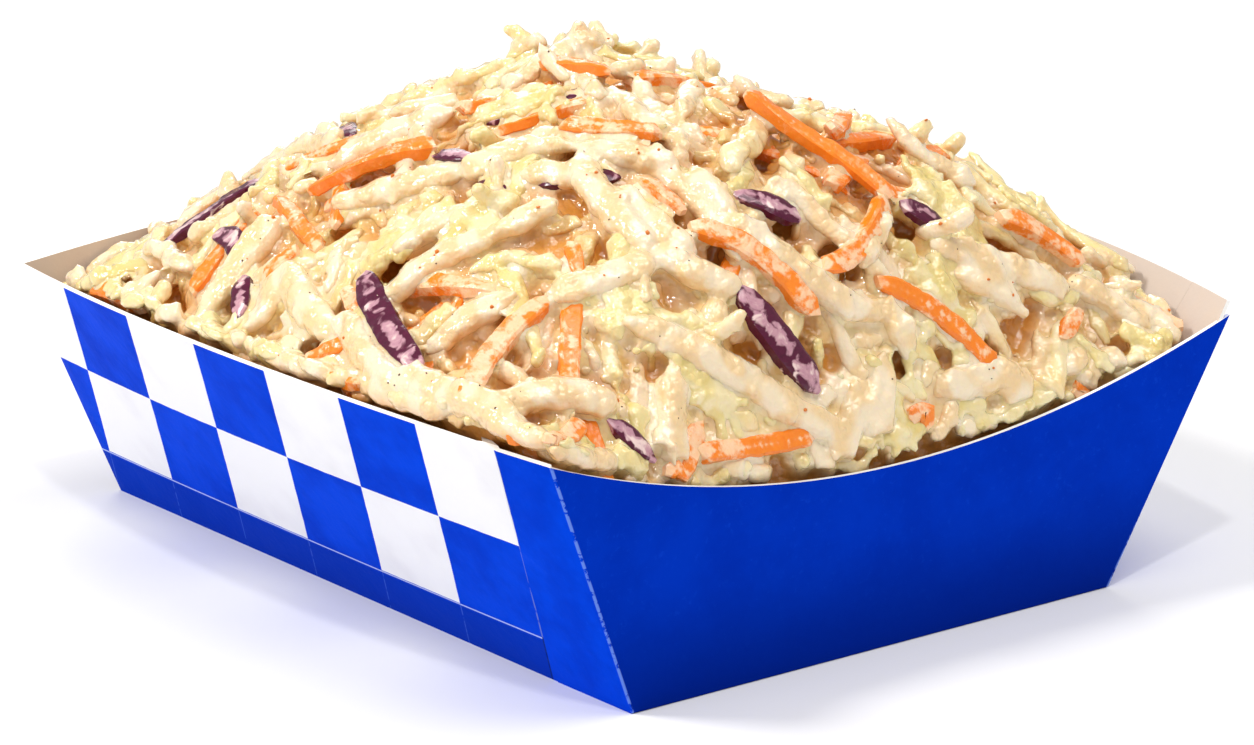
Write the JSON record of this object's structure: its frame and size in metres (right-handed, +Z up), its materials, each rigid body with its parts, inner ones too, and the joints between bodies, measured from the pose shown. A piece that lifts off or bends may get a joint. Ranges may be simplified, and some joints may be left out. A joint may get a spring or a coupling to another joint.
{
  "type": "coleslaw in a paperboard tray",
  "caption": "Creamy coleslaw of shredded white cabbage, carrot and purple cabbage, heaped high in a folded blue and white checked paperboard food tray.",
  "frame": {"origin": "on the surface the tray stands on, under the middle of its rim", "axes": "+X along the front wall to the right, +Y back along the long checked walls, +Z up"},
  "size_m": [0.174, 0.167, 0.0956],
  "materials": {
    "tray_board": "smooth printed board, blue with white checks outside, bare white inside and on its cut edges",
    "slaw": "wet creamy dressing over pale cabbage, orange carrot and purple cabbage shreds"
  },
  "bodies": {
    "root": {"tray": "tray_board", "slaw": "slaw"}
  },
  "joints": []
}
